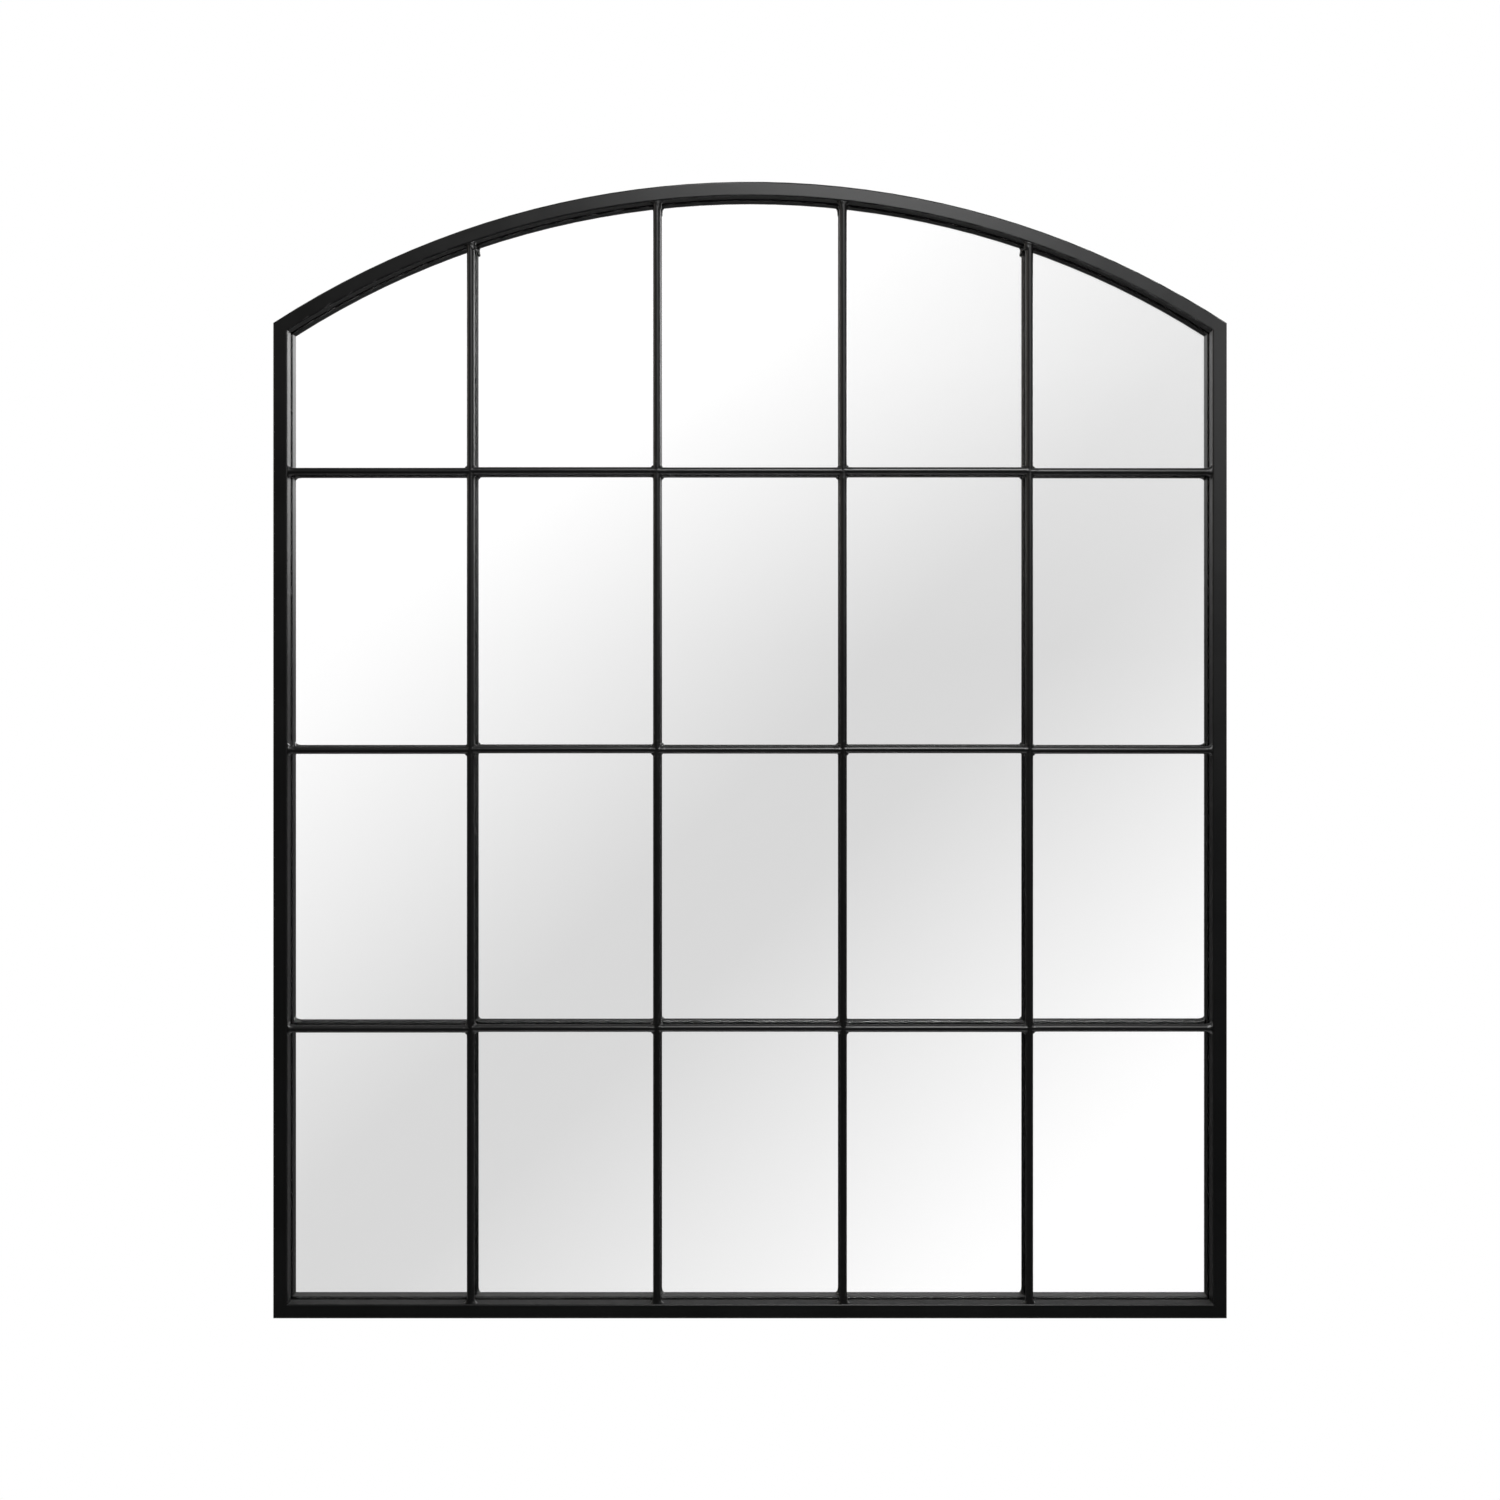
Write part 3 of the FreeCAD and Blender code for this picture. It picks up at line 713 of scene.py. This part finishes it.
@dataclass
class Grid:
    """Round glazing bars, with the beads that weld them to each other and to the frame."""

    coat: bpy.types.Material
    outline: Outline
    bar_radius: float = 4.0
    bar_axis: float = -33.0
    sleeve: float = 0.06
    bead_leg: float = 3.0
    end_leg: float = 4.2
    reach: float = 11.0
    grain: float = 0.45
    uprights: list[str] = field(default_factory=lambda: [f"vertical_bar_{line}" for line in range(1, 5)])
    rows: int = 3
    columns: int = 5

    def build(self, nodes: dict) -> None:
        """Dresses the bars and models the beads.

        Args:
            nodes: CAD nodes by name.
        """
        bars = [name for name in nodes if name in self.uprights or name.startswith("row_")]
        dress(nodes, self.coat, bars)
        texture = bpy.data.textures.new("bead_lumps", "CLOUDS")
        texture.noise_scale = 2.2 * MM
        texture.noise_depth = 1
        across = [self.middle(name, 0) for name in self.uprights]
        for row in range(1, self.rows + 1):
            heights = [self.middle(f"row_{row}_bar_{column}", 2) for column in range(1, self.columns + 1)]
            for line, place in enumerate(across):
                bead = self.crossing(f"crossing_weld_{row}_{line + 1}", place, heights[line : line + 2], texture)
                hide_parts("crossing_welds")
            for side, height in ((LEFT, heights[0]), (RIGHT, heights[-1])):
                wall = side * (self.outline.half_width - self.outline.face)
                word = "left" if side == LEFT else "right"
                bead = self.end_bead(f"{word}_frame_weld_{row}", wall, height, side * 90.0, texture)
                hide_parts("frame_welds")
        for line, place in enumerate(across, start=1):
            foot = self.outline.bottom + self.outline.face
            bead = self.end_bead(f"bottom_frame_weld_{line}", place, foot, 180.0, texture)
            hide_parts("frame_welds")
            head = self.outline.arch_at(place, self.outline.face)
            slope = math.degrees(math.asin(place / (self.outline.arch_radius - self.outline.face)))
            bead = self.end_bead(f"arch_frame_weld_{line}", place, head, slope, texture)
            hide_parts("frame_welds")
        LOG.info("welds at %d crossings", self.rows * len(across))

    def middle(self, node: str, axis: int) -> float:
        """Middle of a CAD node's box along an axis, in millimetres."""
        low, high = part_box(node)
        return (low[axis] + high[axis]) / 2 / MM

    def rod(self, start: Vector, end: Vector, radius: float) -> bpy.types.Object:
        """A short length of rod with ends that draw in.

        Args:
            start: One end, in millimetres.
            end: The other end.
            radius: Radius of its middle.

        Returns:
            The rod.
        """
        run = end - start
        deselect()
        bpy.ops.mesh.primitive_cylinder_add(
            vertices=40,
            radius=radius * MM,
            depth=run.length * MM,
            location=(start + end) / 2 * MM,
            rotation=run.to_track_quat("Z", "Y").to_euler(),
        )
        rod = bpy.context.object
        modified(rod, "BEVEL", width=1.6 * MM, segments=3, limit_method="ANGLE", angle_limit=math.radians(60))
        return rod

    def crossing(
        self, name: str, across: float, heights: list[float], texture: bpy.types.Texture
    ) -> bpy.types.Object:
        """Bead round a crossing: the bars' silhouettes blend into each other in four corners.

        Args:
            name: The piece's name.
            across: Middle of the upright.
            heights: Middle of the short bar on its left and on its right.
            texture: Lumps of the bead.

        Returns:
            The piece.
        """
        radius = self.bar_radius + self.sleeve
        level = sum(heights) / len(heights)
        centre = Vector((across, self.bar_axis, level))
        up = Vector((0, 0, self.reach))
        parts = [self.rod(centre - up, centre + up, radius)]
        for side, height in zip((LEFT, RIGHT), heights):
            root = Vector((across, self.bar_axis, height))
            parts.append(self.rod(root, root + Vector((side * self.reach, 0, 0)), radius))
            for rise in (LEFT, RIGHT):
                corner = Vector((side, 0, rise)) * (self.bar_radius + 0.12 * self.bead_leg)
                deselect()
                bpy.ops.mesh.primitive_ico_sphere_add(
                    subdivisions=3,
                    radius=0.52 * self.bead_leg * MM,
                    location=(Vector((across, self.bar_axis, height)) + corner) * MM,
                    scale=(1.0, 1.15, 1.0),
                )
                parts.append(bpy.context.object)
        return self.fused(parts, name, texture)

    def end_bead(
        self, name: str, across: float, up: float, turn: float, texture: bpy.types.Texture
    ) -> bpy.types.Object:
        """Bead round a bar's end: a fillet that flares onto the tube's inner face.

        Args:
            name: The piece's name.
            across: Where the bar's axis meets the inner face.
            up: Its height.
            turn: Turn of the inner face about the depth, where 0 is a face that looks down.
            texture: Lumps of the bead.

        Returns:
            The piece.
        """
        radius = self.bar_radius + self.sleeve
        wall = Vector((across, self.bar_axis, up))
        steps = ((0.9, 1.9, 0.8), (0.0, 1.8, 1.06), (-1.4, 1.38, 1.03), (-3.0, 1.14, 1.0), (-5.4, 1.02, 1.0))
        deselect()
        bpy.ops.mesh.primitive_circle_add(vertices=40, radius=radius * MM, fill_type="NGON")
        bead = bpy.context.object
        bpy.ops.object.mode_set(mode="EDIT")
        bpy.ops.mesh.select_all(action="SELECT")
        wide, deep, level = 1.0, 1.0, 0.0
        for height, new_wide, new_deep in steps:
            bpy.ops.mesh.extrude_region_move(
                TRANSFORM_OT_translate={"value": (0, 0, (height - level) * MM)}
            )
            bpy.ops.transform.resize(value=(new_wide / wide, new_deep / deep, 1))
            wide, deep, level = new_wide, new_deep, height
        bpy.ops.mesh.extrude_region_move(TRANSFORM_OT_translate={"value": (0, 0, -3 * MM)})
        bpy.ops.transform.resize(value=(0.9, 0.9, 1))
        bpy.ops.mesh.select_all(action="SELECT")
        bpy.ops.mesh.normals_make_consistent(inside=False)
        bpy.ops.object.mode_set(mode="OBJECT")
        bead.rotation_euler = (0, math.radians(turn), 0)
        bead.location = wall * MM
        return self.fused([bead], name, texture)

    def fused(
        self, parts: list[bpy.types.Object], name: str, texture: bpy.types.Texture
    ) -> bpy.types.Object:
        """Melts parts into one bead with a smooth, slightly lumpy skin.

        Args:
            parts: Closed solids that overlap.
            name: The piece's name.
            texture: Lumps of the bead.

        Returns:
            The finished piece, riding on the frame.
        """
        bead = joined(parts, name)
        bpy.ops.object.transform_apply(location=True, rotation=True, scale=True)
        modified(bead, "REMESH", mode="VOXEL", voxel_size=self.grain * MM)
        modified(bead, "SMOOTH", factor=0.5, iterations=6)
        modified(
            bead,
            "DISPLACE",
            texture=texture,
            texture_coords="LOCAL",
            strength=0.35 * MM,
            mid_level=0.45,
        )
        settle(bead, self.coat)
        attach(bead, FRAME_BODY)
        return bead


@dataclass
class MirrorSheet:
    """One arched sheet of float glass with ground edges, silvered and painted on its back.

    The silver lies at the depth where it appears through the glass, because the clear face
    bends no light here.
    """

    outline: Outline
    clear_face: bpy.types.Material
    silver: bpy.types.Material
    ground_edge: bpy.types.Material
    back_paint: bpy.types.Material
    inset: float = 3.5
    front: float = -21.5
    thickness: float = 4.0
    refractive_index: float = 1.52
    silver_thickness: float = 0.1
    silver_inset: float = 1.0
    arris: float = 0.4
    arch_steps: int = 720

    def build(self) -> None:
        """Makes the glass and the silver in it."""
        glass = self.cut("mirror_sheet", self.inset, self.front, self.thickness)
        modified(
            glass,
            "BEVEL",
            width=self.arris * MM,
            segments=2,
            limit_method="ANGLE",
            angle_limit=math.radians(60),
        )
        settle(glass, self.clear_face, self.ground_edge, self.back_paint, crease=20.0)
        for face in glass.data.polygons:
            if face.normal.y < -0.99:
                face.material_index = 0
            elif face.normal.y > 0.99:
                face.material_index = 2
            else:
                face.material_index = 1
        seen_at = self.front + self.thickness / self.refractive_index
        coat = self.cut("silver_coat", self.inset + self.silver_inset, seen_at, self.silver_thickness)
        settle(coat, self.silver, crease=20.0)
        for piece in (glass, coat):
            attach(piece, FRAME_BODY)
            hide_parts("mirror_glass")
        LOG.info("mirror sheet with its silver, %d faces", len(glass.data.polygons))

    def cut(self, name: str, inset: float, front: float, thickness: float) -> bpy.types.Object:
        """Cuts an arched sheet from a disc, as a glazier would.

        Args:
            name: The sheet's name.
            inset: Distance of its edge from the outside of the frame.
            front: Depth of its front face.
            thickness: Its thickness.

        Returns:
            The sheet, active and selected.
        """
        deselect()
        bpy.ops.mesh.primitive_cylinder_add(
            vertices=self.arch_steps,
            radius=(self.outline.arch_radius - inset) * MM,
            depth=thickness * MM,
            location=(0, (front + thickness / 2) * MM, self.outline.arch_centre * MM),
            rotation=(math.radians(90), 0, 0),
        )
        sheet = named(name)
        bpy.ops.object.transform_apply(location=True, rotation=True, scale=True)
        edge = (self.outline.half_width - inset) * MM
        foot = (self.outline.bottom + inset) * MM
        bpy.ops.object.mode_set(mode="EDIT")
        for point, outward in (
            ((edge, 0, 0), (1, 0, 0)),
            ((-edge, 0, 0), (-1, 0, 0)),
            ((0, 0, foot), (0, 0, -1)),
        ):
            bpy.ops.mesh.select_all(action="SELECT")
            bpy.ops.mesh.bisect(plane_co=point, plane_no=outward, use_fill=True, clear_outer=True)
        bpy.ops.object.mode_set(mode="OBJECT")
        return sheet


@dataclass
class Back:
    """Fibreboard panel with its tabs, screws, hangers and bumpers."""

    board: bpy.types.Material
    zinc: bpy.types.Material
    rubber: bpy.types.Material
    gasket: bpy.types.Material
    tape: bpy.types.Material
    head_radius: float = 3.5
    head_height: float = 1.8
    head_rounding: float = 1.0
    recess_width: float = 3.8
    recess_slot: float = 0.9
    recess_depth: float = 1.1
    recess_taper: float = 0.7
    shank_radius: float = 1.7
    screw_length: float = 10.0
    turn_step: float = 37.0

    def build(self, nodes: dict) -> None:
        """Dresses what lies behind the glass, and models the screws.

        Args:
            nodes: CAD nodes by name.
        """
        dress(nodes, self.board, ["backing_panel"])
        dress(nodes, self.zinc, [name for name in nodes if name.endswith(("_hanger_strap", "_hanger_ring"))])
        dress(nodes, self.rubber, [name for name in nodes if name.endswith("_bumper")])
        dress(nodes, self.gasket, ["glass_gasket"])
        dress(nodes, self.tape, ["mounting_tape"])
        template = self.screw()
        for node, label in (("panel_tab_screws", "tab_screw"), ("hanger_screws", "hanger_screw")):
            for number, middle in enumerate(self.heads(nodes[node]), start=1):
                screw = placed_copy(template, f"{label}_{number}")
                screw.rotation_euler = (0, math.radians(self.turn_step * number), 0)
                screw.location = middle
                settle(screw, self.zinc)
                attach(screw, FRAME_BODY)
                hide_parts(node)
            LOG.info("%d screws for %s", number, node)
        bpy.data.objects.remove(template)

    def heads(self, node: bpy.types.Object) -> list[Vector]:
        """Finds the middles of the flat tops of a node's screw heads.

        Args:
            node: CAD node of several screws.

        Returns:
            One point per screw.
        """
        points = [vertex.co for vertex in node.data.vertices]
        top = max(point.y for point in points)
        groups: list[list[Vector]] = []
        for point in points:
            if point.y < top - 0.01 * MM:
                continue
            near = [group for group in groups if (group[0] - point).length < 2 * self.head_radius * MM]
            if near:
                near[0].append(point)
            else:
                groups.append([point])
        middles = []
        for group in groups:
            across = [point.x for point in group]
            up = [point.z for point in group]
            middles.append(Vector(((min(across) + max(across)) / 2, top, (min(up) + max(up)) / 2)))
        return middles

    def screw(self) -> bpy.types.Object:
        """Models a pan-head screw with a cross recess, its head's top at the origin, facing +Y.

        Returns:
            The template of all screws.
        """
        deselect()
        bpy.ops.mesh.primitive_cylinder_add(
            vertices=48,
            radius=self.head_radius * MM,
            depth=self.head_height * MM,
            location=(0, -self.head_height / 2 * MM, 0),
            rotation=(math.radians(-90), 0, 0),
        )
        head = bpy.context.object
        bpy.ops.object.transform_apply(location=True, rotation=True, scale=True)
        bpy.ops.object.mode_set(mode="EDIT")
        bpy.ops.mesh.select_all(action="DESELECT")
        bpy.ops.object.mode_set(mode="OBJECT")
        for face in head.data.polygons:
            face.select = face.normal.y > 0.9
        bpy.ops.object.mode_set(mode="EDIT")
        bpy.ops.mesh.bevel(offset=self.head_rounding * MM, segments=5, affect="EDGES")
        bpy.ops.object.mode_set(mode="OBJECT")
        for turn in (0, 90):
            deselect()
            bpy.ops.mesh.primitive_cube_add(
                size=1, location=(0, 0, 0), rotation=(0, math.radians(turn), 0)
            )
            cutter = bpy.context.object
            cutter.scale = (self.recess_width * MM, 2 * self.recess_depth * MM, self.recess_slot * MM)
            bpy.ops.object.transform_apply(location=True, rotation=True, scale=True)
            for vertex in cutter.data.vertices:
                if vertex.co.y < 0:
                    vertex.co.x *= self.recess_taper
                    vertex.co.z *= self.recess_taper
            deselect()
            head.select_set(True)
            bpy.context.view_layer.objects.active = head
            modified(head, "BOOLEAN", operation="DIFFERENCE", solver="EXACT", object=cutter)
            bpy.data.objects.remove(cutter)
        deselect()
        length = self.screw_length - self.head_height
        bpy.ops.mesh.primitive_cylinder_add(
            vertices=24,
            radius=self.shank_radius * MM,
            depth=length * MM,
            location=(0, -(self.head_height + length / 2 - 0.1) * MM, 0),
            rotation=(math.radians(-90), 0, 0),
        )
        shank = bpy.context.object
        bpy.ops.object.transform_apply(location=True, rotation=True, scale=True)
        tip = min(vertex.co.y for vertex in shank.data.vertices)
        for vertex in shank.data.vertices:
            if vertex.co.y < tip + 0.01 * MM:
                vertex.co.x *= 0.25
                vertex.co.z *= 0.25
        return joined([head, shank], "screw_template")


# Studio.


@dataclass
class Studio:
    """Camera, soft lamps, pale floor and the surroundings that the mirror shows."""

    camera_distance: float = 1.8875
    camera_height: float = -0.2589
    picture_width: float = 1.5720
    picture_centre: float = -0.3639
    sensor_mm: float = 36.0
    front: float = -0.0375
    floor_height: float = -1.86
    floor_radius: float = 1.8
    band_normal: tuple[float, float, float] = (-0.6873, -0.0858, 0.7213)
    mirror_share: float = 0.89
    room_in_front: float = 0.045
    room_behind: float = 0.8
    window_left: float = 0.6
    window_right: float = 2.4

    def build(self) -> None:
        """Builds the whole studio."""
        bpy.context.scene.view_settings.view_transform = "Standard"
        self.add_camera()
        self.add_world()
        self.add_floor()
        self.add_lamps()
        LOG.info("studio built")

    def add_camera(self) -> None:
        """A level camera on the mirror's middle line, with the lens moved a little, as in the photo."""
        distance = self.camera_distance + self.front
        deselect()
        bpy.ops.object.camera_add(
            location=(0, -self.camera_distance, self.camera_height), rotation=(math.radians(90), 0, 0)
        )
        camera = bpy.context.object
        camera.name = "camera"
        camera.data.sensor_width = self.sensor_mm
        camera.data.lens = self.sensor_mm * distance / self.picture_width
        camera.data.shift_y = (self.picture_centre - self.camera_height) / self.picture_width
        bpy.context.scene.camera = camera

    def add_world(self) -> None:
        """White to the camera. A broad soft grey band runs aslant through what the mirror shows."""
        world = bpy.data.worlds.new("studio")
        bpy.context.scene.world = world
        world.use_nodes = True
        tree = world.node_tree
        tree.nodes.clear()
        direction = add_node(tree, "ShaderNodeTexCoord").outputs["Generated"]
        across = add_node(
            tree,
            "ShaderNodeVectorMath",
            {0: direction, 1: self.band_normal},
            operation="DOT_PRODUCT",
        )
        away = add_node(tree, "ShaderNodeMath", {0: across.outputs["Value"]}, operation="ABSOLUTE")
        ramp = add_node(tree, "ShaderNodeValToRGB", {"Fac": away.outputs[0]})
        stops = ((0.0, 0.686), (0.033, 0.692), (0.066, 0.735), (0.11, 0.80), (0.165, 0.885), (0.22, 0.975))
        elements = ramp.color_ramp.elements
        elements[1].position = 0.2415
        elements[1].color = (1, 1, 1, 1)
        elements[0].color = (stops[0][1],) * 3 + (1,)
        for place, value in stops[1:]:
            elements.new(place).color = (value, value, value, 1)
        shown = add_node(
            tree,
            "ShaderNodeBackground",
            {"Color": ramp.outputs["Color"], "Strength": 1 / self.mirror_share},
        )
        height = add_node(tree, "ShaderNodeSeparateXYZ", {"Vector": direction})
        upper = add_node(
            tree,
            "ShaderNodeMapRange",
            {
                "Value": height.outputs["Z"],
                "From Min": -0.6,
                "From Max": 0.8,
                "To Min": 0.25,
                "To Max": 0.6,
            },
        )
        ambient = add_node(
            tree, "ShaderNodeBackground", {"Color": linear("#f4f6f8"), "Strength": upper.outputs["Result"]}
        )
        white = add_node(tree, "ShaderNodeBackground", {"Color": (1, 1, 1, 1), "Strength": 1.0})
        path = add_node(tree, "ShaderNodeLightPath")
        sharp = add_node(
            tree,
            "ShaderNodeMath",
            {0: path.outputs["Is Glossy Ray"], 1: path.outputs["Is Transmission Ray"]},
            operation="MAXIMUM",
        )
        depth = add_node(
            tree,
            "ShaderNodeMapRange",
            {
                "Value": height.outputs["Y"],
                "From Min": -0.3,
                "From Max": 0.4,
                "To Min": self.room_in_front,
                "To Max": self.room_behind,
            },
        )
        room = add_node(
            tree, "ShaderNodeBackground", {"Color": (1, 1, 1, 1), "Strength": depth.outputs["Result"]}
        )
        through_glass = add_node(
            tree, "ShaderNodeMath", {0: path.outputs["Transparent Depth"], 1: 1.5}, operation="GREATER_THAN"
        )
        straight = add_node(
            tree, "ShaderNodeMath", {0: path.outputs["Glossy Depth"], 1: 1.5}, operation="LESS_THAN"
        )
        above = add_node(
            tree,
            "ShaderNodeMapRange",
            {
                "Value": height.outputs["Z"],
                "From Min": 0.0,
                "From Max": 0.16,
                "To Min": self.room_in_front,
                "To Max": 1.0,
            },
        )
        sideways = add_node(
            tree,
            "ShaderNodeMapRange",
            {
                "Value": height.outputs["X"],
                "From Min": -0.25,
                "From Max": 0.25,
                "To Min": self.window_left,
                "To Max": self.window_right,
            },
        )
        windows = add_node(
            tree,
            "ShaderNodeMath",
            {0: above.outputs["Result"], 1: sideways.outputs["Result"]},
            operation="MULTIPLY",
        )
        on_coat = add_node(
            tree, "ShaderNodeBackground", {"Color": (1, 1, 1, 1), "Strength": windows.outputs[0]}
        )
        mirrored = add_node(
            tree, "ShaderNodeMixShader", {0: straight.outputs[0], 1: on_coat.outputs[0], 2: shown.outputs[0]}
        )
        reflected = add_node(
            tree,
            "ShaderNodeMixShader",
            {0: through_glass.outputs[0], 1: room.outputs[0], 2: mirrored.outputs[0]},
        )
        lit = add_node(
            tree,
            "ShaderNodeMixShader",
            {0: sharp.outputs[0], 1: ambient.outputs[0], 2: reflected.outputs[0]},
        )
        seen = add_node(
            tree,
            "ShaderNodeMixShader",
            {0: path.outputs["Is Camera Ray"], 1: lit.outputs[0], 2: white.outputs[0]},
        )
        add_node(tree, "ShaderNodeOutputWorld", {"Surface": seen.outputs[0]})

    def add_floor(self) -> None:
        """A round pale floor that fades to white, and keeps the object's soft shadow."""
        deselect()
        bpy.ops.mesh.primitive_circle_add(
            vertices=96, radius=self.floor_radius, fill_type="NGON", location=(0, 0, self.floor_height)
        )
        floor = named("floor")
        material, tree, place = empty_material("pale_floor")
        reach = add_node(tree, "ShaderNodeVectorMath", {0: place}, operation="LENGTH")
        fade = add_node(
            tree,
            "ShaderNodeMapRange",
            {"Value": reach.outputs["Value"], "From Min": 0.7, "From Max": 1.3},
            interpolation_type="SMOOTHSTEP",
        )
        path = add_node(tree, "ShaderNodeLightPath")
        through_glass = add_node(
            tree, "ShaderNodeMath", {0: path.outputs["Transparent Depth"], 1: 1.5}, operation="GREATER_THAN"
        )
        seen = add_node(
            tree,
            "ShaderNodeMath",
            {0: through_glass.outputs[0], 1: path.outputs["Is Camera Ray"]},
            operation="MAXIMUM",
        )
        lift = add_node(
            tree,
            "ShaderNodeEmission",
            {"Color": (1, 1, 1, 1), "Strength": 0.35},
        )
        matt = add_node(tree, "ShaderNodeBsdfDiffuse", {"Color": linear("#f2f2f2")})
        lifted = add_node(tree, "ShaderNodeAddShader", {0: matt.outputs[0], 1: lift.outputs[0]})
        shown = add_node(
            tree, "ShaderNodeMixShader", {0: seen.outputs[0], 1: matt.outputs[0], 2: lifted.outputs[0]}
        )
        nothing = add_node(tree, "ShaderNodeBsdfTransparent")
        surface = add_node(
            tree,
            "ShaderNodeMixShader",
            {0: fade.outputs["Result"], 1: shown.outputs[0], 2: nothing.outputs[0]},
        )
        finish_material(tree, surface)
        floor.data.materials.append(material)
        floor.location = (0, 0, self.floor_height)

    def add_lamps(self) -> None:
        """A soft key lamp high on the right in front, and a weaker one on the left."""
        self.add_lamp("key_lamp", (0.44, -2.6, 1.788), (0.0, 0.0, -0.2), 1.0, 1.2, 72.0, "#ffffff")
        self.add_lamp("side_lamp", (1.9, -2.6, 0.467), (0.0, 0.0, -0.2), 1.2, 0.8, 10.0, "#ffffff")
        self.add_lamp("fill_lamp", (-2.6, -1.3, 0.6), (0.0, 0.0, -0.4), 0.9, 1.3, 8.0, "#fff6ec")
        self.add_lamp("rear_lamp", (0.6, 1.9, 1.2), (0.0, 0.0, -0.3), 1.6, 1.2, 40.0, "#ffffff")

    def add_lamp(
        self,
        name: str,
        place: tuple[float, float, float],
        target: tuple[float, float, float],
        width: float,
        height: float,
        power: float,
        colour: str,
    ) -> None:
        """Adds a soft box that points at a target.

        Args:
            name: The lamp's name.
            place: Middle of the soft box.
            target: Point that it faces.
            width: Width of the soft box.
            height: Height of the soft box.
            power: Power in watts.
            colour: Colour of its light, in sRGB.
        """
        aim = (Vector(target) - Vector(place)).to_track_quat("-Z", "Y").to_euler()
        deselect()
        bpy.ops.object.light_add(type="AREA", location=place, rotation=aim)
        lamp = bpy.context.object
        lamp.name = name
        lamp.data.shape = "RECTANGLE"
        lamp.data.size = width
        lamp.data.size_y = height
        lamp.data.energy = power
        lamp.data.color = linear(colour)[:3]


def main() -> None:
    """Builds the mirror piece by piece around the CAD frame, then the studio."""
    logging.basicConfig(level=logging.INFO, format="%(name)s: %(message)s")
    random.seed(7)
    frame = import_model()
    nodes = frame["nodes"]
    outline = Outline()
    coat = PowderCoat().build()
    SteelFrame(coat).build(nodes)
    Grid(coat, outline).build(nodes)
    MirrorSheet(
        outline,
        ClearGlassFace().build(),
        Silver().build(),
        GroundGlassEdge().build(),
        MirrorBackPaint().build(),
    ).build()
    Back(
        Fibreboard().build(),
        ZincPlate().build(),
        MouldedRubber().build(),
        Foam("black_foam_gasket", "#141414").build(),
        Foam("white_mounting_foam", "#dcdcd6").build(),
    ).build(nodes)
    Studio().build()


if __name__ == "__main__":
    main()
